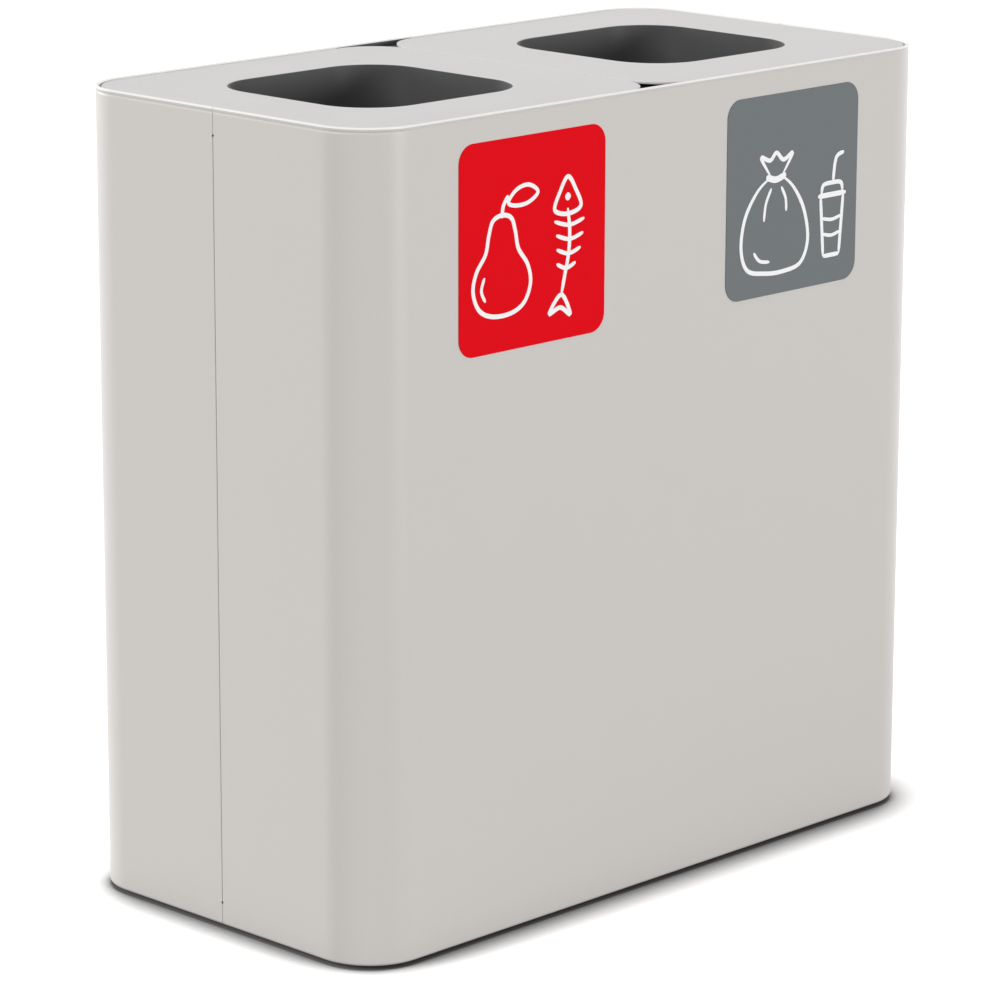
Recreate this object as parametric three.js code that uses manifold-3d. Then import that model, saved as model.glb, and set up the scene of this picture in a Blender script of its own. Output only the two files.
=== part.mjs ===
// A free-standing double recycling bin of painted sheet steel: two U-shaped shells bolted together at
// their side seams, a base pan on four feet, two lift-off lids with waste throats, and a removable
// liner with a bag ring under each lid.
// Millimetres, +Z up. X runs along the width, the front faces -Y, and the origin is on the floor at
// the middle of the footprint.
import * as THREE from "three";
import { mergeVertices } from "three/addons/utils/BufferGeometryUtils.js";
import Module from "manifold-3d";

const wasm = await Module();
wasm.setup();

// Driving dimensions.
const WIDTH = 600;
const DEPTH = 305;
const HEIGHT = 600;
const CORNER_RADIUS = 45;
const SHEET = 1.2; // thickness of the cabinet steel
const ARC_STEPS = 5; // half the number of flats in a rounded corner
const GAP = 0.3; // between sheets that lie on each other
const CLEARANCE = 0.2; // round a weld or a push fit
const SNUG = 0.1; // between a fastener or a pad and what it bears on
const RUN = 1.5; // the distance a cutting solid runs past what it cuts
const DRILL = 10; // length of the solid that cuts a hole through sheet

// Top edge and side seams.
const HEM_THICKNESS = 2.6;
const HEM_HEIGHT = 4.5;
const SEAM_GAP = 0.4;
const SEAM_FLANGE_WIDTH = 16;
const SEAM_FLANGE_LOW = 20; // the bends stop short of both ends of the seam, at a relief notch
const SEAM_FLANGE_HIGH = HEIGHT - 20;
const RELIEF_HEIGHT = 2;
const RELIEF_WIDTH = 1.3;
const SEAM_BOLT_INSET = 10;
const SEAM_BOLT_HEIGHTS = [80, 300, 520];

// Floor.
const SHELL_BOTTOM = 3;
const BOTTOM_FLANGE = 28;
const PAN_THICKNESS = 1.5;
const PAN_BOTTOM = SHELL_BOTTOM + SHEET + GAP;
const PAN_TOP = PAN_BOTTOM + PAN_THICKNESS;
const PAN_LIP = 12;
const PAN_SIDE_GAP = 0.5;
const FOOT_AT = { x: 235, y: DEPTH / 2 - 16 };
const FOOT = { radius: 12, bevel: 1, stem: 3.9, hole: 4.2, barb: 5.2, tip: 3, tipHeight: 3 };
const PAN_SCREW_AT = { x: 190, y: DEPTH / 2 - 14 };
const PAN_SCREW_LENGTH = 5;

// Lids. A lid is a flat plate just below the rim. Its inner corners leave the finger notches at the
// middle of the front and the rear.
const LID_DROP = 1.2;
const LID_THICKNESS = 2;
const LID_TOP = HEIGHT - LID_DROP;
const LID_BOTTOM = LID_TOP - LID_THICKNESS;
const LID_INNER_EDGE = 0.75;
const LID_OUTER_EDGE = WIDTH / 2 - 4;
const LID_DEPTH = DEPTH - 9;
const LID_OUTER_CORNER = 41;
const LID_INNER_CORNER = 38;
const LID_WIDTH = LID_OUTER_EDGE - LID_INNER_EDGE;
const LID_CENTRE = (LID_OUTER_EDGE + LID_INNER_EDGE) / 2;
const OPENING = 170;
const OPENING_CORNER = 44;

// What the lids rest on.
const PAD_THICKNESS = 1.5;
const PAD_RADIUS = 4.5;
const SEAT_TOP = LID_BOTTOM - PAD_THICKNESS - CLEARANCE - SNUG;
const SEAT_THICKNESS = 1.5;
const RAIL_LEDGE = 14.6;
const RAIL_LEG = 10;
const RAIL_LENGTH = 200;
const BRIDGE_WIDTH = 50;
const BRIDGE_END = { width: 78, length: 14 };
const BRIDGE_FLANGE = 16;
const BRIDGE_FLANGE_INSET = 12; // from the cabinet's walls
const BRIDGE_EAR = 32;
const BRIDGE_STUD_AT = { x: 15, z: SEAT_TOP - 20 };
const BRIDGE_STUD_LENGTH = 11;
const STOP_THICKNESS = 1.2;
const FINGER_HOLE = { width: 34, depth: 24, corner: 11.5, y: DEPTH / 2 - 22 };
const PAD_ON_RAIL = { x: WIDTH / 2 - 9, y: 82 };
const PAD_ON_BRIDGE = { x: 17, y: 96 };

// Throats: the dark collars that guide waste past the bag's edge. A collar comes up through the lid,
// flush with its top, and its flange lies under the lid.
const THROAT_OUTSIDE = OPENING - 2 * GAP;
const THROAT_CORNER = OPENING_CORNER - GAP;
const THROAT_WALL = 1.5;
const THROAT_TOP = LID_TOP - CLEARANCE;
const THROAT_BOTTOM = LID_TOP - 112;
const THROAT_FLANGE = 216;
const THROAT_FLANGE_CORNER = 40;
const THROAT_FLANGE_TOP = LID_BOTTOM - CLEARANCE;
const THROAT_STUD_AT = { x: 88, y: 88 };
const THROAT_STUD_LENGTH = 7;

// Liners and bag rings.
const LINER_CENTRE = 154.5;
const LINER_BOTTOM = PAN_TOP + GAP;
const LINER_TOP = 577;
const LINER_WALL = 2.5;
const LINER_FLOOR = 3;
const LINER_RIM = { width: 250, depth: 260, corner: 34, height: 4 };
const LINER_MOUTH = { width: 238, depth: 248, corner: 28 };
const LINER_FOOT = { width: 224, depth: 234, corner: 24 };
const LINER_FLARE = 8;
const GRIP_SLOT = { width: 90, height: 22, corner: 10.5, z: 546 };
const RING_TOP = LINER_TOP + 2;
const RING_THICKNESS = 1.2;
const RING_SKIRT = 20;
const RING_OUTSIDE = { width: 254, depth: 264, corner: 36 };
const RING_LEDGE = 10;

// Labels on the front.
const LABEL = { width: 147, height: 150, corner: 14, thickness: 0.6, x: 138.5, z: 505.5 };
const LABEL_GLUE = 0.05;

// Fasteners, by their shank's radius.
const M4 = { shank: 2, nutFlats: 7, nutHeight: 3.2 };
const M5 = {
  shank: 2.4,
  nutFlats: 8,
  nutHeight: 4,
  head: 4.75,
  headHeight: 2.6,
  socket: 1.7,
  socketDepth: 1.2,
  point: 0.4,
};
const SEAM_BOLT_LENGTH = 10;
const HOLE_CLEARANCE = 0.2;

// Colours and finishes.
const paint = (color, roughness) => new THREE.MeshStandardMaterial({ color, roughness, metalness: 0 });
const finish = {
  bodyPaint: paint(0xcecac5, 0.45),
  lidPaint: paint(0xd4d2d1, 0.45),
  darkPaint: paint(0x3a3a3a, 0.6),
  linerPlastic: paint(0x33363a, 0.55),
  rubber: paint(0x1c1c1c, 0.85),
  redFilm: paint(0xdf0a1b, 0.35),
  greyFilm: paint(0x75797c, 0.35),
  zinc: new THREE.MeshStandardMaterial({ color: 0xb9bcc0, roughness: 0.35, metalness: 1 }),
};

// ---- Shapes and solids ----

// The outline of a rectangle with round corners, centred on the origin. Its two corners on the -X side
// may have a radius of their own.
function roundedRectangle(width, depth, right, left = right) {
  const x = width / 2;
  const y = depth / 2;
  const shape = new THREE.Shape();
  shape.absarc(x - right, y - right, right, 0, Math.PI / 2);
  shape.absarc(left - x, y - left, left, Math.PI / 2, Math.PI);
  shape.absarc(left - x, left - y, left, Math.PI, 1.5 * Math.PI);
  shape.absarc(x - right, right - y, right, 1.5 * Math.PI, 2 * Math.PI);
  return shape;
}

// A closed three.js geometry as a solid that can be cut and joined.
function solid(geometry) {
  const bare = geometry.clone();
  bare.deleteAttribute("normal");
  bare.deleteAttribute("uv");
  const merged = mergeVertices(bare, 1e-4);
  return new wasm.Manifold(
    new wasm.Mesh({
      numProp: 3,
      vertProperties: new Float32Array(merged.attributes.position.array),
      triVerts: new Uint32Array(merged.index.array),
    }),
  );
}

// A solid as a geometry with flat faces.
function geometryOf(made) {
  const { vertProperties, triVerts } = made.getMesh();
  const geometry = new THREE.BufferGeometry();
  geometry.setAttribute("position", new THREE.BufferAttribute(vertProperties, 3));
  geometry.setIndex(new THREE.BufferAttribute(triVerts, 1));
  const flat = geometry.toNonIndexed();
  flat.computeVertexNormals();
  return flat;
}

function extruded(shape, low, high) {
  const options = { depth: high - low, bevelEnabled: false, curveSegments: ARC_STEPS };
  return solid(new THREE.ExtrudeGeometry(shape, options).translate(0, 0, low));
}

function box(x0, x1, y0, y1, z0, z1) {
  const geometry = new THREE.BoxGeometry(x1 - x0, y1 - y0, z1 - z0);
  return solid(geometry.translate((x0 + x1) / 2, (y0 + y1) / 2, (z0 + z1) / 2));
}

// A rod from one point along +X, +Y or +Z.
function rod(axis, x, y, z, radius, length, sides = 12) {
  const geometry = new THREE.CylinderGeometry(radius, radius, length, sides).translate(0, length / 2, 0);
  if (axis === "x") geometry.rotateZ(-Math.PI / 2);
  if (axis === "z") geometry.rotateX(Math.PI / 2);
  return solid(geometry.translate(x, y, z));
}

const joined = (solids) => solids.reduce((whole, piece) => whole.add(piece));
const cutBy = (whole, tools) => tools.reduce((left, tool) => left.subtract(tool), whole);

// The four places (+-x, +-y).
const fourPlaces = ({ x, y }) => [
  { x: -x, y: -y },
  { x, y: -y },
  { x: -x, y },
  { x, y },
];

// A surface through a list of rounded-rectangle sections, each {width, depth, corner, z}, closed by a
// flat cap at the first and at the last.
function throughSections(sections) {
  const positions = [];
  const index = [];
  const rings = sections.map(({ width, depth, corner, z }) => {
    const points = roundedRectangle(width, depth, corner).getPoints(ARC_STEPS);
    const first = positions.length / 3;
    points.slice(0, -1).forEach((p) => positions.push(p.x, p.y, z));
    return { first, count: points.length - 1 };
  });
  for (let i = 0; i + 1 < rings.length; i++) {
    const { first: a, count } = rings[i];
    const b = rings[i + 1].first;
    for (let j = 0; j < count; j++) {
      const k = (j + 1) % count;
      index.push(a + j, a + k, b + k, a + j, b + k, b + j);
    }
  }
  const cap = ({ first, count }, z, faceUp) => {
    const centre = positions.length / 3;
    positions.push(0, 0, z);
    for (let j = 0; j < count; j++) {
      const k = (j + 1) % count;
      if (faceUp) index.push(centre, first + j, first + k);
      else index.push(centre, first + k, first + j);
    }
  };
  cap(rings[0], sections[0].z, false);
  cap(rings[rings.length - 1], sections[sections.length - 1].z, true);
  const geometry = new THREE.BufferGeometry();
  geometry.setAttribute("position", new THREE.Float32BufferAttribute(positions, 3));
  geometry.setIndex(index);
  return solid(geometry);
}

const bin = new THREE.Group();

function addPiece(name, made, material) {
  const mesh = new THREE.Mesh(geometryOf(made), material);
  mesh.name = name;
  bin.add(mesh);
  return mesh;
}

// ---- Cabinet ----

// Both shells in one, before the cut along the side seams: wall, folded top hem and bottom flange.
function closedCabinet() {
  const ring = (inset, low, high) => {
    const inside = roundedRectangle(WIDTH - 2 * inset, DEPTH - 2 * inset, CORNER_RADIUS - inset);
    return extruded(roundedRectangle(WIDTH, DEPTH, CORNER_RADIUS), low, high).subtract(
      extruded(inside, low - RUN, high + RUN),
    );
  };
  return joined([
    ring(SHEET, SHELL_BOTTOM, HEIGHT),
    ring(HEM_THICKNESS, HEIGHT - HEM_HEIGHT, HEIGHT),
    ring(BOTTOM_FLANGE, SHELL_BOTTOM, SHELL_BOTTOM + SHEET),
  ]);
}

// Holes for the feet and the screws, through the shells' bottom flanges and the pan.
function floorHoles() {
  return [
    ...fourPlaces(FOOT_AT).map(({ x, y }) => rod("z", x, y, 0, FOOT.hole, DRILL)),
    ...fourPlaces(PAN_SCREW_AT).map(({ x, y }) => rod("z", x, y, 0, M5.shank + HOLE_CLEARANCE, DRILL)),
  ];
}

// One of the two shells: side -1 is the front one, +1 the rear one.
function shell(side) {
  const seamFace = (side * SEAM_GAP) / 2;
  const farFace = side * DEPTH;
  const half = box(
    -WIDTH,
    WIDTH,
    Math.min(seamFace, farFace),
    Math.max(seamFace, farFace),
    -RUN,
    HEIGHT + RUN,
  );
  const flangeFace = seamFace + side * SHEET;
  const flanges = [-1, 1].map((end) => {
    const wall = end * (WIDTH / 2 - SHEET / 2);
    const edge = end * (WIDTH / 2 - SEAM_FLANGE_WIDTH);
    return box(
      Math.min(wall, edge),
      Math.max(wall, edge),
      Math.min(seamFace, flangeFace),
      Math.max(seamFace, flangeFace),
      SEAM_FLANGE_LOW,
      SEAM_FLANGE_HIGH,
    );
  });
  const studs = [-1, 1].map((end) => {
    const length = BRIDGE_STUD_LENGTH;
    const y = side > 0 ? DEPTH / 2 - SHEET / 2 - length : -DEPTH / 2 + SHEET / 2;
    return rod("y", end * BRIDGE_STUD_AT.x, y, BRIDGE_STUD_AT.z, M5.shank, length);
  });
  const seamBoltHoles = [-1, 1].flatMap((end) =>
    SEAM_BOLT_HEIGHTS.map((z) =>
      rod("y", end * (WIDTH / 2 - SEAM_BOLT_INSET), -DRILL / 2, z, M5.shank + HOLE_CLEARANCE, DRILL),
    ),
  );
  const reliefs = [-1, 1].flatMap((end) =>
    [SEAM_FLANGE_LOW, SEAM_FLANGE_HIGH].map((z) =>
      box(
        end * (WIDTH / 2) - 2 * SHEET,
        end * (WIDTH / 2) + 2 * SHEET,
        Math.min(seamFace - side, seamFace + side * RELIEF_WIDTH),
        Math.max(seamFace - side, seamFace + side * RELIEF_WIDTH),
        z - RELIEF_HEIGHT / 2,
        z + RELIEF_HEIGHT / 2,
      ),
    ),
  );
  const folded = joined([closedCabinet().intersect(half), ...flanges, ...studs]);
  return cutBy(folded, [...seamBoltHoles, ...reliefs, ...floorHoles()]);
}

function basePan() {
  const inset = SHEET + PAN_SIDE_GAP;
  const outline = (more) =>
    roundedRectangle(WIDTH - 2 * (inset + more), DEPTH - 2 * (inset + more), CORNER_RADIUS - inset - more);
  const tray = extruded(outline(0), PAN_BOTTOM, PAN_BOTTOM + PAN_LIP).subtract(
    extruded(outline(PAN_THICKNESS), PAN_TOP, PAN_BOTTOM + PAN_LIP + RUN),
  );
  return cutBy(tray, floorHoles());
}

// A push-in glide: a disc on the floor, a stem through the flange and the pan, and a barb above.
function foot() {
  const disc = SHELL_BOTTOM - CLEARANCE;
  const barb = PAN_TOP + CLEARANCE;
  const profile = [
    [0, 0],
    [FOOT.radius - FOOT.bevel, 0],
    [FOOT.radius, FOOT.bevel],
    [FOOT.radius, disc],
    [FOOT.stem, disc],
    [FOOT.stem, barb],
    [FOOT.barb, barb],
    [FOOT.tip, barb + FOOT.tipHeight],
    [0, barb + FOOT.tipHeight],
  ].map(([r, z]) => new THREE.Vector2(r, z));
  return solid(new THREE.LatheGeometry(profile, 16).rotateX(Math.PI / 2));
}

// A button-head screw with its shank down -Z and the seat of its head at z 0.
function buttonHeadScrew(length) {
  const { shank, head, headHeight, socket, socketDepth, point } = M5;
  const profile = [
    [0, -length],
    [shank - point, -length],
    [shank, -length + point],
    [shank, 0],
    [head, 0],
    [head * 0.92, headHeight * 0.5],
    [head * 0.6, headHeight],
    [0, headHeight],
  ].map(([r, z]) => new THREE.Vector2(r, z));
  const blank = solid(new THREE.LatheGeometry(profile, 12).rotateX(Math.PI / 2));
  const hexagon = new THREE.CylinderGeometry(socket, socket, 2 * socketDepth, 6).rotateX(Math.PI / 2);
  return blank.subtract(solid(hexagon).translate([0, 0, headHeight]));
}

// A hexagon nut along +Z, with its bearing face at z 0.
function nut({ shank, nutFlats, nutHeight }) {
  const corner = nutFlats / Math.sqrt(3);
  const shape = new THREE.Shape();
  for (let i = 0; i < 6; i++) {
    const turn = (i * Math.PI) / 3;
    if (i === 0) shape.moveTo(corner, 0);
    else shape.lineTo(corner * Math.cos(turn), corner * Math.sin(turn));
  }
  shape.closePath();
  const blank = extruded(shape, 0, nutHeight);
  return blank.subtract(rod("z", 0, 0, -RUN, shank + SNUG, nutHeight + 2 * RUN));
}

function addCabinet() {
  addPiece("front_shell", shell(-1), finish.bodyPaint);
  addPiece("rear_shell", shell(1), finish.bodyPaint);
  addPiece("base_pan", basePan(), finish.darkPaint);

  const footSolid = foot();
  const screwSolid = buttonHeadScrew(PAN_SCREW_LENGTH);
  fourPlaces(FOOT_AT).forEach(({ x, y }, i) => {
    addPiece(`foot_${i + 1}`, footSolid, finish.rubber).position.set(x, y, 0);
  });
  fourPlaces(PAN_SCREW_AT).forEach(({ x, y }, i) => {
    addPiece(`pan_screw_${i + 1}`, screwSolid, finish.zinc).position.set(x, y, PAN_TOP + SNUG);
  });

  const boltSolid = buttonHeadScrew(SEAM_BOLT_LENGTH);
  const nutSolid = nut(M5);
  const flangeOutside = SEAM_GAP / 2 + SHEET + SNUG;
  [
    ["left", -1],
    ["right", 1],
  ].forEach(([name, end]) => {
    SEAM_BOLT_HEIGHTS.forEach((z, i) => {
      const x = end * (WIDTH / 2 - SEAM_BOLT_INSET);
      const bolt = addPiece(`seam_bolt_${name}_${i + 1}`, boltSolid, finish.zinc);
      bolt.rotation.x = Math.PI / 2; // the head faces the front
      bolt.position.set(x, -flangeOutside, z);
      const seamNut = addPiece(`seam_nut_${name}_${i + 1}`, nutSolid, finish.zinc);
      seamNut.rotation.x = -Math.PI / 2;
      seamNut.position.set(x, flangeOutside, z);
    });
  });
}

// ---- Lid seats ----

// An angle on the end wall, under the hem: side -1 is the left one.
function sideRail(side) {
  const wall = side * (WIDTH / 2 - SHEET - CLEARANCE);
  const ledge = wall - side * RAIL_LEDGE;
  const leg = wall - side * SEAT_THICKNESS;
  const angle = (x, low, high) =>
    box(Math.min(wall, x), Math.max(wall, x), -RAIL_LENGTH / 2, RAIL_LENGTH / 2, low, high);
  return angle(ledge, SEAT_TOP - SEAT_THICKNESS, SEAT_TOP).add(angle(leg, SEAT_TOP - RAIL_LEG, SEAT_TOP));
}

// The cross member under the lids' inner edges. Its wide ends fill the finger notches, with an upright
// stop against the hem and an ear that hangs on the shell's studs.
function lidBridge() {
  const end = DEPTH / 2 - SHEET - GAP;
  const underside = SEAT_TOP - SEAT_THICKNESS;
  const stopOutside = DEPTH / 2 - HEM_THICKNESS - GAP;
  const half = BRIDGE_WIDTH / 2;
  const flangeEnd = end - BRIDGE_FLANGE_INSET;
  const pieces = [box(-half, half, -end, end, underside, SEAT_TOP)];
  [-1, 1].forEach((side) => {
    const span = (a, b) => [Math.min(side * a, side * b), Math.max(side * a, side * b)];
    pieces.push(
      box(
        -BRIDGE_END.width / 2,
        BRIDGE_END.width / 2,
        ...span(end - BRIDGE_END.length, end),
        underside,
        SEAT_TOP,
      ),
      box(
        -BRIDGE_END.width / 2,
        BRIDGE_END.width / 2,
        ...span(stopOutside - STOP_THICKNESS, stopOutside),
        underside,
        LID_TOP,
      ),
      box(-half, half, ...span(end - SEAT_THICKNESS, end), SEAT_TOP - BRIDGE_EAR, SEAT_TOP),
      box(
        ...span(half - SEAT_THICKNESS, half),
        -flangeEnd,
        flangeEnd,
        SEAT_TOP - BRIDGE_FLANGE,
        SEAT_TOP,
      ),
    );
  });
  const fingerHole = roundedRectangle(FINGER_HOLE.width, FINGER_HOLE.depth, FINGER_HOLE.corner);
  const holes = [-1, 1].flatMap((side) => [
    extruded(fingerHole, underside - RUN, SEAT_TOP + RUN).translate([0, side * FINGER_HOLE.y, 0]),
    ...[-1, 1].map((across) =>
      rod(
        "y",
        across * BRIDGE_STUD_AT.x,
        side * end - DRILL / 2,
        BRIDGE_STUD_AT.z,
        M5.shank + HOLE_CLEARANCE,
        DRILL,
      ),
    ),
  ]);
  return cutBy(joined(pieces), holes);
}

function addLidSeats() {
  addPiece("side_rail_left", sideRail(-1), finish.bodyPaint);
  addPiece("side_rail_right", sideRail(1), finish.bodyPaint);
  addPiece("lid_bridge", lidBridge(), finish.darkPaint);

  const nutSolid = nut(M5);
  const earInside = DEPTH / 2 - SHEET - GAP - SEAT_THICKNESS - SNUG;
  fourPlaces({ x: BRIDGE_STUD_AT.x, y: earInside }).forEach(({ x, y }, i) => {
    const bridgeNut = addPiece(`bridge_nut_${i + 1}`, nutSolid, finish.zinc);
    bridgeNut.rotation.x = (Math.sign(y) * Math.PI) / 2; // away from the wall
    bridgeNut.position.set(x, y, BRIDGE_STUD_AT.z);
  });

  const padSolid = rod("z", 0, 0, 0, PAD_RADIUS, PAD_THICKNESS);
  const padHeight = SEAT_TOP + SNUG;
  [...fourPlaces(PAD_ON_RAIL), ...fourPlaces(PAD_ON_BRIDGE)].forEach(({ x, y }, i) => {
    addPiece(`lid_pad_${i + 1}`, padSolid, finish.rubber).position.set(x, y, padHeight);
  });
}

// ---- Lids and throats ----

// A lid about its own middle: side -1 is the left one.
function lid(side) {
  const right = side > 0 ? LID_OUTER_CORNER : LID_INNER_CORNER;
  const left = side > 0 ? LID_INNER_CORNER : LID_OUTER_CORNER;
  const plate = extruded(roundedRectangle(LID_WIDTH, LID_DEPTH, right, left), LID_BOTTOM, LID_TOP);
  const opening = extruded(
    roundedRectangle(OPENING, OPENING, OPENING_CORNER),
    LID_BOTTOM - RUN,
    LID_TOP + RUN,
  );
  const studs = fourPlaces(THROAT_STUD_AT).map(({ x, y }) =>
    rod("z", x, y, LID_BOTTOM - THROAT_STUD_LENGTH, M4.shank, THROAT_STUD_LENGTH + LID_THICKNESS / 2),
  );
  return joined([plate.subtract(opening), ...studs]);
}

function throat() {
  const inside = THROAT_OUTSIDE - 2 * THROAT_WALL;
  const flange = extruded(
    roundedRectangle(THROAT_FLANGE, THROAT_FLANGE, THROAT_FLANGE_CORNER),
    THROAT_FLANGE_TOP - THROAT_WALL,
    THROAT_FLANGE_TOP,
  );
  const collar = extruded(
    roundedRectangle(THROAT_OUTSIDE, THROAT_OUTSIDE, THROAT_CORNER),
    THROAT_BOTTOM,
    THROAT_TOP,
  );
  const bore = extruded(
    roundedRectangle(inside, inside, THROAT_CORNER - THROAT_WALL),
    THROAT_BOTTOM - RUN,
    THROAT_TOP + RUN,
  );
  const studHoles = fourPlaces(THROAT_STUD_AT).map(({ x, y }) =>
    rod("z", x, y, THROAT_FLANGE_TOP - DRILL / 2, M4.shank + HOLE_CLEARANCE, DRILL),
  );
  return cutBy(flange.add(collar), [bore, ...studHoles]);
}

function addLid(name, side) {
  const centre = side * LID_CENTRE;
  addPiece(`lid_${name}`, lid(side), finish.lidPaint).position.x = centre;
  addPiece(`throat_${name}`, throat(), finish.darkPaint).position.x = centre;
  const nutSolid = nut(M4);
  const nutTop = THROAT_FLANGE_TOP - THROAT_WALL - SNUG;
  fourPlaces(THROAT_STUD_AT).forEach(({ x, y }, i) => {
    const throatNut = addPiece(`throat_nut_${name}_${i + 1}`, nutSolid, finish.zinc);
    throatNut.position.set(centre + x, y, nutTop - M4.nutHeight);
  });
}

// ---- Liners and bag rings ----

// A tapered tub with a flat rim and a grip slot in its front and rear walls.
function liner() {
  const inside = ({ width, depth, corner }, z) => ({
    width: width - 2 * LINER_WALL,
    depth: depth - 2 * LINER_WALL,
    corner: corner - LINER_WALL,
    z,
  });
  const rimLow = LINER_TOP - LINER_RIM.height;
  const tub = throughSections([
    { ...LINER_FOOT, z: LINER_BOTTOM },
    { ...LINER_MOUTH, z: rimLow - LINER_FLARE },
    { ...LINER_MOUTH, z: rimLow },
    { ...LINER_RIM, z: rimLow },
    { ...LINER_RIM, z: LINER_TOP },
    inside(LINER_MOUTH, LINER_TOP),
    inside(LINER_MOUTH, rimLow - LINER_FLARE),
    inside(LINER_FOOT, LINER_BOTTOM + LINER_FLOOR),
  ]);
  const slot = roundedRectangle(GRIP_SLOT.width, GRIP_SLOT.height, GRIP_SLOT.corner);
  const slots = extruded(slot, -LINER_RIM.depth, LINER_RIM.depth)
    .rotate([90, 0, 0])
    .translate([0, 0, GRIP_SLOT.z]);
  return tub.subtract(slots);
}

// An angle ring that drops over the liner's rim and holds the bag's edge.
function bagRing() {
  const { width, depth, corner } = RING_OUTSIDE;
  const outline = (inset) => roundedRectangle(width - 2 * inset, depth - 2 * inset, corner - inset);
  const low = RING_TOP - RING_SKIRT;
  return extruded(outline(0), low, RING_TOP)
    .subtract(extruded(outline(RING_THICKNESS), low - RUN, RING_TOP - RING_THICKNESS))
    .subtract(extruded(outline(RING_LEDGE), low - RUN, RING_TOP + RUN));
}

function addLiner(name, side) {
  addPiece(`liner_${name}`, liner(), finish.linerPlastic).position.x = side * LINER_CENTRE;
  addPiece(`bag_ring_${name}`, bagRing(), finish.darkPaint).position.x = side * LINER_CENTRE;
}

// ---- Labels ----

function addLabel(name, side, material) {
  const film = extruded(
    roundedRectangle(LABEL.width, LABEL.height, LABEL.corner),
    LABEL_GLUE,
    LABEL_GLUE + LABEL.thickness,
  );
  const label = addPiece(`label_${name}`, film, material);
  label.rotation.x = Math.PI / 2; // upright, facing the front
  label.position.set(side * LABEL.x, -DEPTH / 2, LABEL.z);
}

addCabinet();
addLidSeats();
addLid("left", -1);
addLid("right", 1);
addLiner("left", -1);
addLiner("right", 1);
addLabel("red", -1, finish.redFilm);
addLabel("grey", 1, finish.greyFilm);

export default bin;
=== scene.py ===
"""The looks of a double recycling bin: two folded steel shells, lift-off lids, dark throats and liners."""

import math

import bmesh
import bpy
from bpy.props import FloatProperty, FloatVectorProperty, PointerProperty
from mathutils import Matrix, Vector


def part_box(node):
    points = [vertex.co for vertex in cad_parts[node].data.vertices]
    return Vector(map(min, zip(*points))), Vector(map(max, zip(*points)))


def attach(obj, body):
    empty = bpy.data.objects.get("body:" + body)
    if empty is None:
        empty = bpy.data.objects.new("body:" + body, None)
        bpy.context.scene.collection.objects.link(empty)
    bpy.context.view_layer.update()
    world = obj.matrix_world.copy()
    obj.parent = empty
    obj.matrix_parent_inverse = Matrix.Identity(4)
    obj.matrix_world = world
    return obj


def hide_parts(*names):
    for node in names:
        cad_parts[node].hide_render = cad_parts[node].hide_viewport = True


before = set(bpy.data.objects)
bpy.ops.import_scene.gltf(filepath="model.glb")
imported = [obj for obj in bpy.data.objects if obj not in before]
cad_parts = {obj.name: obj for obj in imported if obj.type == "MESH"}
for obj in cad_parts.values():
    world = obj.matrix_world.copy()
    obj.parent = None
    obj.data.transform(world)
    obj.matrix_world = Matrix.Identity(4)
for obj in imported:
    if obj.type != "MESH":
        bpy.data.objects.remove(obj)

bl_info = {
    "name": "Double recycling bin",
    "version": (1, 0, 0),
    "blender": (4, 5, 0),
    "location": "View3D > Sidebar > Bin",
    "description": "Builds the finished surfaces of a double recycling bin around its CAD model",
    "category": "Object",
}

MM = 0.001
WELD = 0.002 * MM  # points closer than this are one point
SHARP = math.radians(35)  # faces that meet more steeply than this keep a hard edge
ARC_STEPS = 14  # flats in a quarter circle
FEW_STEPS = 5  # flats round a fold in sheet
SOFT = 0.4 * MM  # rounding of a cut edge of thick sheet
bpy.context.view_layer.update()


def span(node):
    """The lowest and the highest corner of a CAD node."""
    low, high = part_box(node)
    return Vector(low), Vector(high)


def middle_of(node):
    low, high = span(node)
    return (low + high) / 2


def linear(code):
    """An sRGB hex colour as linear red, green, blue and alpha."""
    channels = [int(code[i : i + 2], 16) / 255 for i in (1, 3, 5)]
    return [c / 12.92 if c <= 0.04045 else ((c + 0.055) / 1.055) ** 2.4 for c in channels] + [1.0]


def colour(name, code, description):
    return FloatVectorProperty(
        name=name, description=description, subtype="COLOR", size=4, min=0, max=1, default=linear(code)
    )


def length(name, millimetres, description):
    return FloatProperty(
        name=name, description=description, unit="LENGTH", subtype="DISTANCE", min=0, default=millimetres * MM
    )


class BinColours(bpy.types.PropertyGroup):
    """The colours of the bin."""

    body: colour("Body", "#CFCBC7", "Powder coat of the two shells")
    # The hem colour is a painted highlight: near-white paint that stands in for the glint of light along the
    # fold's crest.
    hem: colour("Hem", "#F4F2EE", "Painted highlight: near-white paint on the crest of the folded top edge")
    lid: colour("Lid", "#D6D4D3", "Powder coat of the lids")
    dark: colour("Throat", "#474748", "Powder coat of the throats, the bridge, the pan and the bag rings")
    liner: colour("Liner", "#35383B", "Moulded plastic of the liners")
    zinc: colour("Fasteners", "#C3C6CA", "Zinc plating of the screws, bolts and nuts")
    rubber: colour("Rubber", "#1D1D1D", "Glides and lid pads")
    red: colour("Left label", "#EC0618", "Vinyl film of the left label")
    grey: colour("Right label", "#7A7F81", "Vinyl film of the right label")
    ink: colour("Print", "#FFFFFF", "Ink of the drawings on the labels")


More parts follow.
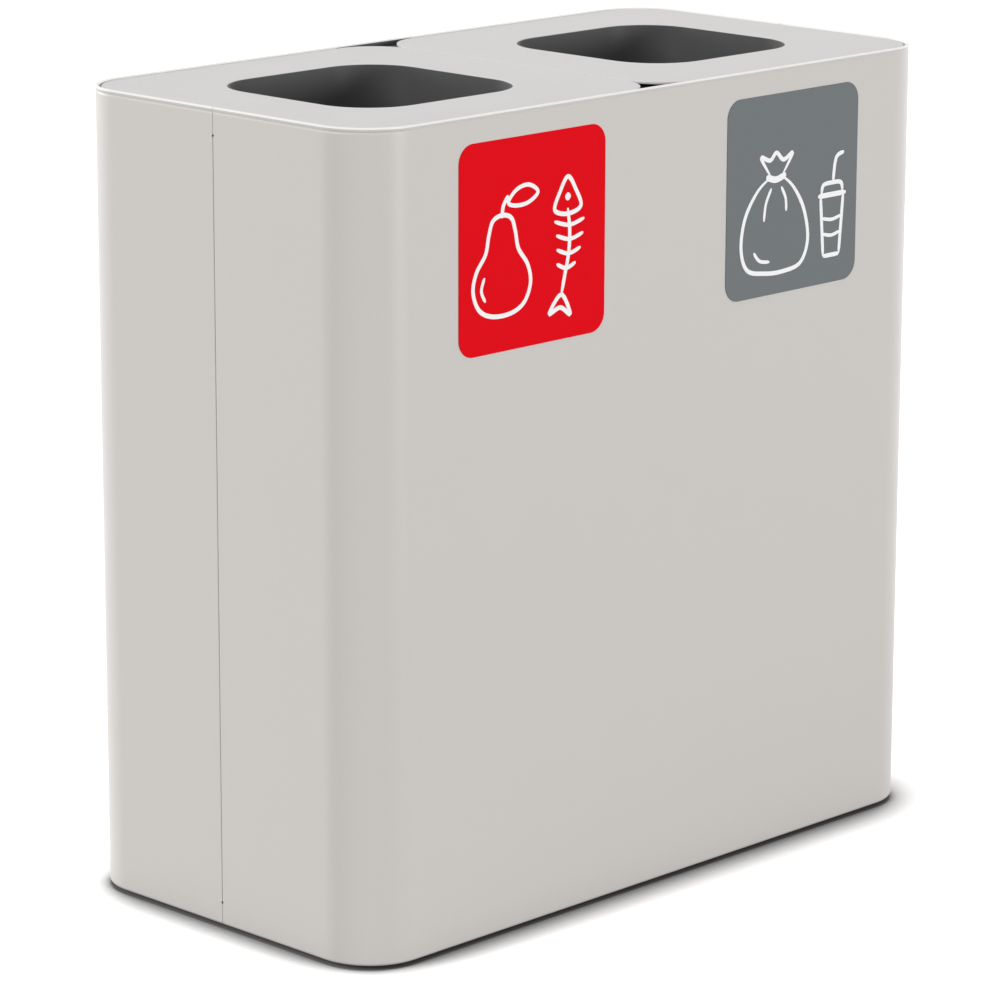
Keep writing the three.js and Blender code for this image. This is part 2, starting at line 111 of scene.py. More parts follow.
class BinSizes(bpy.types.PropertyGroup):
    """The sizes that the CAD model's boxes don't give."""

    corner: length("Corner radius", 45, "Outer radius of the cabinet's upright corners")
    sheet: length("Sheet", 1.2, "Thickness of the cabinet steel")
    hem: length("Hem thickness", 2.6, "Thickness of the folded top edge")
    hem_height: length("Hem height", 4.5, "Height of the folded top edge")
    seam: length("Seam gap", 0.4, "Gap between the two shells at the side seams")
    relief: length("Seam relief", 20, "Distance of the bend reliefs from the top and the bottom")
    lid_outer_corner: length("Lid outer corner", 41, "Radius of a lid's corners at the cabinet's ends")
    lid_inner_corner: length("Lid inner corner", 38, "Radius of a lid's corners beside the other lid")
    opening: length("Opening", 170, "Width of the opening in a lid")
    opening_corner: length("Opening corner", 44, "Corner radius of the opening in a lid")
    label_corner: length("Label corner", 14, "Corner radius of the labels")
    stroke: length("Line width", 3.3, "Width of the lines in the drawings on the labels")


# ---- Outlines ----


def arc(centre, radius, start, end, steps=ARC_STEPS):
    """Points on a circle from one angle to another, in degrees."""
    angles = [math.radians(start + (end - start) * i / steps) for i in range(steps + 1)]
    return [Vector((centre[0] + radius * math.cos(a), centre[1] + radius * math.sin(a))) for a in angles]


def rounded(low, high, right, left=None, steps=ARC_STEPS):
    """The outline of a rectangle with round corners. Its corners on the -X side may have their own radius."""
    left = right if left is None else left
    return [
        *arc((high.x - right, high.y - right), right, 0, 90, steps),
        *arc((low.x + left, high.y - left), left, 90, 180, steps),
        *arc((low.x + left, low.y + left), left, 180, 270, steps),
        *arc((high.x - right, low.y + right), right, 270, 360, steps),
    ]


def rounded_about(centre, width, depth, radius, steps=ARC_STEPS):
    half = Vector((width / 2, depth / 2))
    middle = Vector((centre[0], centre[1]))
    return rounded(middle - half, middle + half, radius, steps=steps)


def at_height(points, z):
    return [Vector((p.x, p.y, z)) for p in points]


def inset_loop(centre, width, depth, radius, inset, z):
    """The outline of a rectangle with round corners, drawn in all round, at a height."""
    return at_height(rounded_about(centre, width - 2 * inset, depth - 2 * inset, radius - inset), z)


def fold(start, end, steps=FEW_STEPS):
    """Points on a circle of radius 1 about the origin, which a fold's rows are scaled from."""
    return arc((0, 0), 1, start, end, steps)


def polygon_radius(angle, sides, flats):
    """How far the side of a regular polygon lies from its centre, in one direction."""
    sector = 2 * math.pi / sides
    return flats / 2 / math.cos((angle + sector / 2) % sector - sector / 2)


def smooth_line(points, closed=False, steps=8):
    """A smooth line through the points given."""
    count = len(points)
    pick = (lambda i: points[i % count]) if closed else (lambda i: points[min(max(i, 0), count - 1)])
    line = []
    for i in range(count if closed else count - 1):
        a, b, c, d = (Vector(pick(i + k)) for k in (-1, 0, 1, 2))
        for k in range(steps):
            t = k / steps
            bow, twist = 2 * a - 5 * b + 4 * c - d, 3 * b - a - 3 * c + d
            line.append(0.5 * (2 * b + (c - a) * t + bow * t**2 + twist * t**3))
    return line if closed else [*line, Vector(points[-1])]


# ---- Meshes ----


def skin(bm, rows, closed=True, wrap=False):
    """Faces between rows of points. closed joins each row's ends, wrap joins the last row to the first."""
    grid = [[bm.verts.new(p) for p in row] for row in rows]
    wide = len(grid[0])
    for j in range(len(grid) if wrap else len(grid) - 1):
        here, above = grid[j], grid[(j + 1) % len(grid)]
        for i in range(wide if closed else wide - 1):
            k = (i + 1) % wide
            bm.faces.new((here[i], here[k], above[k], above[i]))
    return grid


def capped(bm, rows):
    """A closed solid through rows of points, with a flat face at each end."""
    grid = skin(bm, rows)
    bm.faces.new(list(reversed(grid[0])))
    bm.faces.new(grid[-1])


def turned(bm, profile, place=Matrix.Identity(4), sides=24):
    """A solid turned about Z from (radius, height) pairs, then moved to its place."""
    ring = [2 * math.pi * i / sides for i in range(sides)]
    rows = [[place @ Vector((r * math.cos(a), r * math.sin(a), z)) for a in ring] for r, z in profile]
    capped(bm, rows)


def plate(bm, outline, low, high, edge=0.0, holes=(), place=Matrix.Identity(4)):
    """A flat plate with holes, between two heights, with its edges rounded by the radius given."""
    before = set(bm.verts)
    rims = []
    for loop in (outline, *holes):
        verts = [bm.verts.new((p.x, p.y, low)) for p in loop]
        rims += [bm.edges.new((verts[i - 1], verts[i])) for i in range(len(verts))]
    filled = bmesh.ops.triangle_fill(bm, use_beauty=True, use_dissolve=False, edges=rims)
    faces = [f for f in filled["geom"] if isinstance(f, bmesh.types.BMFace)]
    raised = bmesh.ops.extrude_face_region(bm, geom=faces, use_keep_orig=True)["geom"]
    bmesh.ops.translate(
        bm, verts=[v for v in raised if isinstance(v, bmesh.types.BMVert)], vec=(0, 0, high - low)
    )
    if edge:
        own = {v for v in bm.verts if v not in before}
        level = [
            e
            for e in bm.edges
            if e.verts[0] in own
            and abs(e.verts[0].co.z - e.verts[1].co.z) < WELD
            and any(abs(e.verts[0].co.z - z) < WELD for z in (low, high))
            and sorted(is_level(f) for f in e.link_faces) == [False, True]
        ]
        bmesh.ops.bevel(bm, geom=level, offset=edge, segments=3, profile=0.5, affect="EDGES")
    own = [v for v in bm.verts if v not in before]
    bmesh.ops.transform(bm, matrix=place, verts=own)


def is_level(face):
    heights = [v.co.z for v in face.verts]
    return max(heights) - min(heights) < WELD


def block(bm, low, high, edge):
    """A plate with four sharp corners."""
    corners = ((low[0], low[1]), (high[0], low[1]), (high[0], high[1]), (low[0], high[1]))
    plate(bm, [Vector(corner) for corner in corners], low[2], high[2], edge)


def sheet(bm, near, far, present=lambda i, j: True):
    """A sheet from rows of points on its two faces, with a raw edge round the cells that aren't present."""
    high, wide = len(near) - 1, len(near[0]) - 1
    front = [[bm.verts.new(p) for p in row] for row in near]
    back = [[bm.verts.new(p) for p in row] for row in far]

    def there(i, j):
        return 0 <= i < wide and 0 <= j < high and present(i, j)

    for j in range(high):
        for i in range(wide):
            if not there(i, j):
                continue
            corners = ((i, j), (i + 1, j), (i + 1, j + 1), (i, j + 1))
            bm.faces.new([front[b][a] for a, b in corners])
            bm.faces.new([back[b][a] for a, b in reversed(corners)])
            beside = ((i, j - 1), (i + 1, j), (i, j + 1), (i - 1, j))
            for k, (a, b) in enumerate(beside):
                if there(a, b):
                    continue
                (x0, y0), (x1, y1) = corners[k], corners[(k + 1) % 4]
                bm.faces.new((front[y1][x1], front[y0][x0], back[y0][x0], back[y1][x1]))
    bmesh.ops.delete(bm, geom=[v for v in bm.verts if not v.link_faces], context="VERTS")


def tidy(bm):
    bmesh.ops.remove_doubles(bm, verts=bm.verts, dist=WELD)
    bmesh.ops.dissolve_degenerate(bm, dist=WELD, edges=bm.edges)
    bmesh.ops.recalc_face_normals(bm, faces=bm.faces)


def as_mesh(bm, name):
    tidy(bm)
    mesh = bpy.data.meshes.new(name)
    bm.to_mesh(mesh)
    bm.free()
    return mesh


def combined(base, other, operation):
    """Two solids joined or cut, as a new mesh in the making."""
    objects = [bpy.data.objects.new("solid", as_mesh(bm, "solid")) for bm in (base, other)]
    for made in objects:
        bpy.context.collection.objects.link(made)
    cut = objects[0].modifiers.new("join", "BOOLEAN")
    cut.operation = operation
    cut.solver = "EXACT"
    cut.object = objects[1]
    bpy.context.view_layer.update()
    result = bmesh.new()
    result.from_mesh(objects[0].evaluated_get(bpy.context.evaluated_depsgraph_get()).data)
    for made in objects:
        mesh = made.data
        bpy.data.objects.remove(made)
        bpy.data.meshes.remove(mesh)
    return result


def add_piece(name, bm, finishes, body, nodes, finish_of=None):
    """Makes the finished piece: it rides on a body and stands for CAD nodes."""
    mesh = as_mesh(bm, name)
    mesh.shade_smooth()
    mesh.set_sharp_from_angle(angle=SHARP)
    for material in finishes:
        mesh.materials.append(material)
    if finish_of:
        for face in mesh.polygons:
            face.material_index = finish_of(face)
    piece = bpy.data.objects.new(name, mesh)
    bpy.context.collection.objects.link(piece)
    weigh = piece.modifiers.new("flat faces shade flat", "WEIGHTED_NORMAL")
    weigh.keep_sharp = True
    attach(piece, body)
    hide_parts(*nodes)
    return piece


# ---- Materials ----


def add_node(tree, kind, inputs=None, **settings):
    """Adds a node with its settings. An input that is another node's socket is linked, another is set."""
    made = tree.nodes.new(kind)
    for name, value in settings.items():
        setattr(made, name, value)
    for name, value in (inputs or {}).items():
        if isinstance(value, bpy.types.NodeSocket):
            tree.links.new(value, made.inputs[name])
        else:
            made.inputs[name].default_value = value
    return made


def new_material(name):
    made = bpy.data.materials.new(name)
    made.use_nodes = True
    made.node_tree.nodes.clear()
    return made, made.node_tree


def per_metre(millimetres):
    """The scale of a pattern that repeats at this size."""
    return 1 / (millimetres * MM)


def mix_colours(tree, factor, a, b):
    """A colour between two. A mix node's sockets share their names, so its colour sockets go by number."""
    return add_node(tree, "ShaderNodeMix", {0: factor, 6: a, 7: b}, data_type="RGBA").outputs[2]


def surface(
    name,
    base,
    roughness,
    grain,
    depth,
    ior=1.5,
    patch=60.0,
    patch_strength=0.008,
    roughness_spread=0.03,
    metallic=0.0,
    specular=0.5,
):
    """A finish with soft patches in its colour, a spread in its gloss and a fine grain in relief.

    grain and patch are sizes and depth is the relief's height, all in millimetres.
    """
    made, tree = new_material(name)
    where = add_node(tree, "ShaderNodeTexCoord").outputs["Object"]
    cloud = add_node(tree, "ShaderNodeTexNoise", {"Vector": where, "Scale": per_metre(patch), "Detail": 3.0})
    lighter = [min(1.0, c * (1 + patch_strength)) for c in base[:3]] + [1.0]
    darker = [c * (1 - patch_strength) for c in base[:3]] + [1.0]
    tint = mix_colours(tree, cloud.outputs["Fac"], darker, lighter)
    gloss = add_node(
        tree,
        "ShaderNodeMapRange",
        {
            "Value": cloud.outputs["Fac"],
            "From Min": 0.3,
            "From Max": 0.7,
            "To Min": roughness - roughness_spread,
            "To Max": roughness + roughness_spread,
        },
    )
    fine = add_node(tree, "ShaderNodeTexNoise", {"Vector": where, "Scale": per_metre(grain), "Detail": 2.0})
    relief = add_node(
        tree, "ShaderNodeBump", {"Height": fine.outputs["Fac"], "Distance": depth * MM, "Strength": 1.0}
    )
    shader = add_node(
        tree,
        "ShaderNodeBsdfPrincipled",
        {
            "Base Color": tint,
            "Roughness": gloss.outputs["Result"],
            "Metallic": metallic,
            "Normal": relief.outputs["Normal"],
        },
    )
    if not metallic:
        shader.inputs["IOR"].default_value = ior
        shader.inputs["Specular IOR Level"].default_value = specular
    add_node(tree, "ShaderNodeOutputMaterial", {"Surface": shader.outputs["BSDF"]})
    return made


def satin_powder_coat(name, base):
    """Polyester powder coat, sprayed and baked: an even satin skin with a faint orange peel of 2 mm."""
    return surface(name, base, roughness=0.42, grain=2.0, depth=0.004)


def matt_powder_coat(name, base):
    """Fine-textured powder coat, sprayed and baked: dull. Its grain of 0.4 mm is drawn at 0.8 mm, to show."""
    return surface(name, base, roughness=0.6, grain=0.8, depth=0.02, patch_strength=0.03)


def moulded_polypropylene(name, base):
    """Polypropylene, injection moulded in a spark-eroded mould: a soft sheen over a grain.

    The real grain of 0.2 mm is drawn at 0.7 mm, so that it shows.
    """
    return surface(name, base, roughness=0.5, ior=1.49, grain=0.7, depth=0.025, patch_strength=0.03)


def moulded_rubber(name, base):
    """Synthetic rubber, compression moulded: dull, with a faint bloom in patches."""
    return surface(name, base, roughness=0.8, ior=1.52, grain=0.5, depth=0.01, patch=8.0, patch_strength=0.12)


def zinc_plating(name, base):
    """Steel, zinc plated and passivated: a grey shine, clouded in patches of about 3 mm."""
    return surface(
        name, base, roughness=0.34, grain=0.4, depth=0.002, patch=3.0, patch_strength=0.1, metallic=1.0
    )


def vinyl_film(name, base):
    """Cast vinyl film, laid by hand: an even dull colour with the faint waviness of the sheet below it."""
    return surface(
        name, base, roughness=0.55, grain=6.0, depth=0.004, patch=40.0, patch_strength=0.012, specular=0.05
    )


def screen_print(name, base):
    """White ink, screen printed: flat and opaque, a little duller than the film below it."""
    return surface(name, base, roughness=0.5, grain=0.5, depth=0.003, patch=10.0, patch_strength=0.006)


FINISHES = {
    "Powder coat, satin, light grey": (satin_powder_coat, "body"),
    # This finish is a painted highlight: near-white paint that stands in for the glint along the hem's crest.
    "Powder coat, satin, thin on a fold": (satin_powder_coat, "hem"),
    "Powder coat, satin, pale grey": (satin_powder_coat, "lid"),
    "Powder coat, fine matt, dark grey": (matt_powder_coat, "dark"),
    "Polypropylene, moulded, dark grey": (moulded_polypropylene, "liner"),
    "Steel, zinc plated": (zinc_plating, "zinc"),
    "Rubber, moulded, black": (moulded_rubber, "rubber"),
    "Vinyl film, red": (vinyl_film, "red"),
    "Vinyl film, grey": (vinyl_film, "grey"),
    "Screen print, white": (screen_print, "ink"),
}
BODY, PAINTED_HIGHLIGHT, LID, DARK, LINER, ZINC, RUBBER, RED, GREY, INK = FINISHES


def finish(name):
    """The material of that name, made the first time that it is asked for."""
    if name not in bpy.data.materials:
        make, property_name = FINISHES[name]
        make(name, list(getattr(bpy.context.scene.bin_colours, property_name)))
    return bpy.data.materials[name]


# ---- Cabinet ----

RELIEF = 1.7 * MM  # height of the notch that stops a bend short of the seam's end
RELIEF_DEPTH = 0.8 * MM
SEAM_COLUMNS = (0, 0.12, 0.35, 0.8, 1.2, 1.6, 4.0)  # distances from the seam's edge, in millimetres
SEAM_BEND = 0.5 * MM  # outer radius of the bend at the seam
SEAM_FLANGE = 16 * MM  # how far the shells' seam flanges reach inward
BOTTOM_FLANGE = 28 * MM  # how far their bottom flange reaches inward
BOTTOM_BEND = 2.4 * MM
# The groove where the fold meets the wall, under the hem: (inset, distance below the top), in millimetres.
HEM_GROOVE = ((0, 5.2), (0.1, 4.5), (0.34, 4.0), (0.45, 3.6), (0.4, 3.2), (0.14, 2.7), (0, 2.3))
HEM_EDGE = 0.5 * MM  # chamfer of the sheet's end under the hem
HIGHLIGHT_DROP_OUTSIDE = 1.5 * MM  # how far down the painted highlight reaches, outside
HIGHLIGHT_DROP_INSIDE = 3.5 * MM  # how far down the painted highlight reaches, on the side that faces the lids
PAN_THICKNESS = 1.5 * MM
PAN_CORNER = 43.3 * MM
PAN_BEND = 3 * MM
# The glides: their disc's thickness, the rounding under it, and the stem, whose (radius, height) pairs are in
# millimetres and end in a barb above the pan.
GLIDE_DISC = 2.8 * MM
GLIDE_ROUND = 0.9 * MM
GLIDE_EDGE = 0.5 * MM
GLIDE_STEM = ((3.9, 2.8), (3.9, 6.1), (5.1, 6.3), (4.6, 7.4))
GLIDE_TIP = ((3.0, 0.2), (2.4, 0))  # (radius, distance below the top), in millimetres


def shell_columns(side, sizes):
    """Points along a shell's outer face, from its left seam to its right one.

    Each is (point, outward, distance from the seam).
    """
    low, high = span("front_shell")[0], span("rear_shell")[1]
    near_seam = [d * MM for d in SEAM_COLUMNS]
    columns = []
    for end in (-1, 1):
        edge = low.x if end < 0 else high.x
        face = low.y if side < 0 else high.y
        seam = [(Vector((edge, side * (sizes.seam / 2 + d))), Vector((end, 0)), d) for d in near_seam]
        centre = Vector((edge - end * sizes.corner, face - side * sizes.corner))
        bend = []
        for i in range(ARC_STEPS + 1):
            turn = math.pi / 2 * i / ARC_STEPS
            outward = Vector((end * math.cos(turn), side * math.sin(turn)))
            bend.append((centre + outward * sizes.corner, outward, sizes.corner))
        columns += seam + bend if end < 0 else list(reversed(seam + bend))
    return columns


def shell_rows(sizes):
    """(inset, height) of a shell's outer and inner face, from its bottom flange over the hem."""
    low, high = span("front_shell")
    bottom, top, t, hem, bend = low.z, high.z, sizes.sheet, sizes.hem, BOTTOM_BEND
    rows = [((BOTTOM_FLANGE, bottom), (BOTTOM_FLANGE, bottom + t))]
    for p in fold(270, 180):
        outside = (bend + bend * p.x, bottom + bend + bend * p.y)
        rows.append((outside, (bend + (bend - t) * p.x, bottom + bend + (bend - t) * p.y)))
    notch = RELIEF / 2
    for z in (sizes.relief, top - sizes.relief):
        rows += [((0, z - notch), (t, z - notch)), ((0, z + notch), (t, z + notch))]
    under = (t, top - sizes.hem_height)
    crest = [(inset * MM, top - drop * MM) for inset, drop in HEM_GROOVE]
    crest += [(p.x, p.y) for p in arc((hem / 2, top - hem / 2), hem / 2, 180, 0, 10)]
    crest += [(hem, top - sizes.hem_height + HEM_EDGE), (hem - HEM_EDGE, top - sizes.hem_height)]
    return rows + [(point, under) for point in crest]


def shell_mesh(side, sizes):
    """One shell: a sheet round the cabinet with an open end at both seams, and a flange inside each seam."""
    columns, rows = shell_columns(side, sizes), shell_rows(sizes)
    top = span("front_shell")[1].z
    low, high = sizes.relief + RELIEF / 2, top - sizes.relief - RELIEF / 2

    def outer(column, row):
        (point, outward, from_seam), (inset, z) = column, row[0]
        if from_seam < SEAM_BEND and low - WELD < z < high + WELD:
            inset += SEAM_BEND - math.sqrt(SEAM_BEND**2 - (SEAM_BEND - from_seam) ** 2)
        return Vector((*(point - outward * inset), z))

    def inner(column, row):
        point, outward, _ = column
        inset, z = row[1]
        return Vector((*(point - outward * inset), z))

    def present(i, j):
        z = (rows[j][0][1] + rows[j + 1][0][1]) / 2
        at_relief = min(abs(z - sizes.relief), abs(z - top + sizes.relief)) < RELIEF / 4
        furthest = max(columns[i][2], columns[i + 1][2])
        return not (at_relief and furthest < RELIEF_DEPTH + WELD)

    bm = bmesh.new()
    sheet(
        bm,
        [[outer(c, r) for c in columns] for r in rows],
        [[inner(c, r) for c in columns] for r in rows],
        present,
    )
    tidy(bm)
    fold_seam_flanges(bm, side, sizes, low, high)
    return bm


def fold_seam_flanges(bm, side, sizes, low, high):
    """Draws the inner face beside each seam inward, between the reliefs, into a flange for the seam bolts."""
    half = span("rear_shell")[1].x
    width = SEAM_FLANGE - sizes.sheet
    near = 0.1 * MM
    for end in (-1, 1):
        strip = []
        for face in bm.faces:
            middle = face.calc_center_median()
            beside_seam = abs(middle.y) < sizes.seam / 2 + sizes.sheet
            inside = abs(middle.x - end * (half - sizes.sheet)) < near and abs(face.normal.x) > 0.9
            if beside_seam and inside and low < middle.z < high:
                strip.append(face)
        if not strip:
            raise RuntimeError("the shell has no inner face beside its seam")
        made = bmesh.ops.extrude_face_region(bm, geom=strip)["geom"]
        moved = [v for v in made if isinstance(v, bmesh.types.BMVert)]
        bmesh.ops.translate(bm, verts=moved, vec=(-end * width, 0, 0))
        bmesh.ops.delete(bm, geom=strip, context="FACES")


M5_RADIUS = 2.4 * MM  # a thread is drawn a little thinner than its nominal size
M4_RADIUS = 2 * MM
PITCH = 0.8 * MM
ROOT = 0.86  # radius at a thread's root, as a share of that at its crest
POINT = 0.5 * MM  # the plain length at each end of a thread
STUD_WELD = 0.8 * MM  # how far inside its sheet a weld stud starts
STUD_END = 10.4 * MM


def stud_profile(radius, start, end):
    """A threaded stud's (radius, height) pairs. The thread is drawn as plain grooves."""
    count = int((end - start - 2 * POINT) / PITCH)
    profile = [(radius, start)]
    for i in range(count):
        z = start + POINT + i * PITCH
        profile += [(radius, z), (radius * ROOT, z + PITCH / 2)]
    return [*profile, (radius, end - POINT), (radius * 0.7, end)]


def standing(point):
    """The place of a flat solid that stands upright at a point and faces the front."""
    return Matrix.Translation(Vector(point)) @ Matrix.Rotation(math.pi / 2, 4, "X")


def towards(direction, point):
    """The place of a turned solid that stands at a point and grows in a direction."""
    turn = Vector((0, 0, 1)).rotation_difference(Vector(direction)).to_matrix().to_4x4()
    return Matrix.Translation(Vector(point)) @ turn


class BIN_OT_shells(bpy.types.Operator):
    """Folds the front and the rear shell, with their hems, seams and weld studs"""

    bl_idname = "bin.shells"
    bl_label = "Shells"

    def execute(self, context):
        sizes = context.scene.bin_sizes
        top = span("front_shell")[1].z
        # Faces above these heights take the painted highlight.
        crest, highlight_inside_from = top - HIGHLIGHT_DROP_OUTSIDE, top - HIGHLIGHT_DROP_INSIDE

        def on_painted_highlight(face):
            """Painted highlight: near-white paint on the crest, and down the side that faces the lids, where
            light would glint.
            """
            inward = face.center.x * face.normal.x + face.center.y * face.normal.y < 0
            return int(face.center.z > crest or (inward and face.center.z > highlight_inside_from))

        for name, side in (("front", -1), ("rear", 1)):
            bm = shell_mesh(side, sizes)
            low, high = span(f"{name}_shell")
            wall = low.y if side < 0 else high.y
            for nut in ("bridge_nut_1", "bridge_nut_2"):
                at = middle_of(nut)
                foot = (at.x, wall - side * STUD_WELD, at.z)
                turned(bm, stud_profile(M5_RADIUS, 0, STUD_END), towards((0, -side, 0), foot), 16)
            paint_and_painted_highlight = [finish(BODY), finish(PAINTED_HIGHLIGHT)]
            add_piece(f"{name}_shell_sheet", bm, paint_and_painted_highlight, "cabinet", [f"{name}_shell"], on_painted_highlight)
        return {"FINISHED"}


class BIN_OT_floor(bpy.types.Operator):
    """Presses the base pan and turns the four glides under it"""

    bl_idname = "bin.floor"
    bl_label = "Base pan and glides"

    def execute(self, context):
        low, high = span("base_pan")
        thick, bend = PAN_THICKNESS, PAN_BEND

        def ring(inset, z):
            edge = Vector((inset, inset))
            return at_height(rounded(low.xy + edge, high.xy - edge, PAN_CORNER - inset), z)

        rows = [ring(bend, low.z)]
        rows += [ring(bend + bend * p.x, low.z + bend + bend * p.y) for p in fold(270, 180)]
        rows += [ring(0, high.z - SOFT), ring(SOFT, high.z), ring(thick - SOFT, high.z)]
        rows += [ring(thick, high.z - SOFT)]
        inner = bend - thick
        rows += [ring(bend + inner * p.x, low.z + bend + inner * p.y) for p in fold(180, 270)]
        bm = bmesh.new()
        capped(bm, rows)
        add_piece("base_pan_tray", bm, [finish(DARK)], "cabinet", ["base_pan"])
        for i in range(1, 5):
            low, high = span(f"foot_{i}")
            radius = (high.x - low.x) / 2
            inner = radius - GLIDE_ROUND
            profile = [(inner - GLIDE_EDGE, 0), (inner, 0.1 * MM)]
            profile += [(inner + GLIDE_ROUND * p.x, 1 * MM + GLIDE_ROUND * p.y) for p in fold(-80, 0, 4)]
            profile += [(radius, GLIDE_DISC - GLIDE_EDGE), (radius - GLIDE_EDGE, GLIDE_DISC)]
            profile += [(r * MM, z * MM) for r, z in GLIDE_STEM]
            profile += [(r * MM, high.z - drop * MM) for r, drop in GLIDE_TIP]
            bm = bmesh.new()
            middle = (low + high) / 2
            turned(bm, profile, Matrix.Translation((middle.x, middle.y, 0)), 40)
            add_piece(f"glide_{i}", bm, [finish(RUBBER)], "cabinet", [f"foot_{i}"])
        return {"FINISHED"}


# ---- Fasteners ----

SCREW_HEAD = 4.7 * MM  # radius
SCREW_HEAD_HEIGHT = 2.6 * MM
SOCKET = 3 * MM  # across the flats
SOCKET_DEPTH = 1.3 * MM
SOCKET_CHAMFER = 0.15 * MM
NUT_FACE = 0.94  # width of a nut's faces at their chamfer, as a share of its width across the flats
NUT_CHAMFER = 0.12  # height of the chamfer, as a share of the nut's height
NUT_BORE = 0.31  # radius of the bore, as a share of the width across the flats
NUT_MOUTH = 1.15  # radius of the countersink, as a share of the bore's
NUT_ROOT = 1.08  # radius at the thread's root, as a share of the bore's
NUT_THREADS = 5


def facets(place, radius, z):
    """A ring of points about the place's Z. The radius may depend on the angle."""
    sides = 36
    angles = [2 * math.pi * i / sides for i in range(sides)]
    radii = [radius(a) if callable(radius) else radius for a in angles]
    return [place @ Vector((r * math.cos(a), r * math.sin(a), z)) for r, a in zip(radii, angles)]


def hex_nut(bm, place, flats, height):
    """A hexagon nut with chamfered corners and grooves for its thread, from its bearing face up."""
    corner, face, bore = flats / math.sqrt(3), flats / 2 * NUT_FACE, flats * NUT_BORE
    chamfer, mouth = NUT_CHAMFER * height, bore * NUT_MOUTH

    def hexagon(a):
        return min(polygon_radius(a, 6, flats), corner)

    section = [(face, 0), (hexagon, chamfer), (hexagon, height - chamfer), (face, height), (mouth, height)]
    for i in range(NUT_THREADS):
        z, half = height * (1 - (i + 0.5) / NUT_THREADS), height / NUT_THREADS / 4
        section += [(bore, z + half), (bore * NUT_ROOT, z - half)]
    section.append((mouth, 0))
    skin(bm, [facets(place, radius, z) for radius, z in section], wrap=True)


def button_screw(bm, place, shank_length):
    """An M5 button-head screw with a hexagon socket. Its head grows along the place's Z."""

    def hexagon(a):
        return polygon_radius(a, 6, SOCKET)

    def wide_hexagon(a):
        return hexagon(a) + SOCKET_CHAMFER

    top = SCREW_HEAD_HEIGHT
    section = [(radius, -z) for radius, z in reversed(stud_profile(M5_RADIUS, 0, shank_length))]
    section.append((SCREW_HEAD - 0.2 * MM, 0))
    # The dome is a part of a circle, stretched to the head's height.
    section += [(SCREW_HEAD * p.x, top * (p.y - 0.05) / 0.84) for p in fold(5, 62, 6)]
    section += [(wide_hexagon, top), (hexagon, top - SOCKET_CHAMFER), (hexagon, top - SOCKET_DEPTH)]
    capped(bm, [facets(place, radius, z) for radius, z in section])


class BIN_OT_fasteners(bpy.types.Operator):
    """Makes the seam bolts, the pan screws and all the nuts"""

    bl_idname = "bin.fasteners"
    bl_label = "Fasteners"

    def execute(self, context):
        for side in ("left", "right"):
            for i in (1, 2, 3):
                node = f"seam_bolt_{side}_{i}"
                low, high = span(node)
                middle = (low + high) / 2
                face = low.y + SCREW_HEAD_HEIGHT
                bm = bmesh.new()
                button_screw(bm, towards((0, -1, 0), (middle.x, face, middle.z)), high.y - face)
                add_fastener(node, bm)
                self.add_nut(f"seam_nut_{side}_{i}", (0, 1, 0))
            for i in range(1, 5):
                self.add_nut(f"throat_nut_{side}_{i}", (0, 0, -1), f"lid_{side}")
        for i in range(1, 5):
            node = f"pan_screw_{i}"
            low, high = span(node)
            middle = (low + high) / 2
            face = high.z - SCREW_HEAD_HEIGHT
            bm = bmesh.new()
            button_screw(bm, Matrix.Translation((middle.x, middle.y, face)), face - low.z)
            add_fastener(node, bm)
            wall = 1 if span(f"bridge_nut_{i}")[0].y < 0 else -1
            self.add_nut(f"bridge_nut_{i}", (0, wall, 0))
        return {"FINISHED"}

    def add_nut(self, node, direction, body="cabinet"):
        low, high = span(node)
        middle = (low + high) / 2
        axis = Vector(direction)
        height = abs((high - low).dot(axis))
        across = [abs((high - low)[k]) for k in range(3) if not direction[k]]
        bm = bmesh.new()
        hex_nut(bm, towards(axis, middle - axis * height / 2), min(across), height)
        add_fastener(node, bm, body)


def add_fastener(node, bm, body="cabinet"):
    add_piece(f"{node}_plated", bm, [finish(ZINC)], body, [node])


# ---- Lid seats ----

SEAT_THICKNESS = 1.5 * MM
SEAT_BEND = 2.2 * MM
SEAT_EDGE = 0.3 * MM
PAD_GLUE = 0.1 * MM  # between a pad and its seat
# The section of a lid pad, in millimetres.
PAD_SIDE = ((0.3, 0), (0, 0.3), (0, 0.7), (0.25, 1.15))  # (distance inside its radius, height above its foot)
PAD_CROWN = ((0.9, 0.08), (2, 0))  # (distance inside its radius, distance below its top)
BRIDGE_HALF_WIDTH = 25 * MM
BRIDGE_END = 14 * MM  # length of its wide ends
BRIDGE_CORNER = 3 * MM
BRIDGE_STOP = 2.6 * MM  # how far the stop under the hem stands inside the wall
BRIDGE_STOP_THICKNESS = 1.2 * MM
BRIDGE_SKIRT = 16 * MM
BRIDGE_SKIRT_END = 12 * MM  # how far the skirts end before the wall
FINGER_HOLE_AT = 130.5 * MM
FINGER_HOLE = (34 * MM, 24 * MM, 11.5 * MM)  # width, depth and corner radius


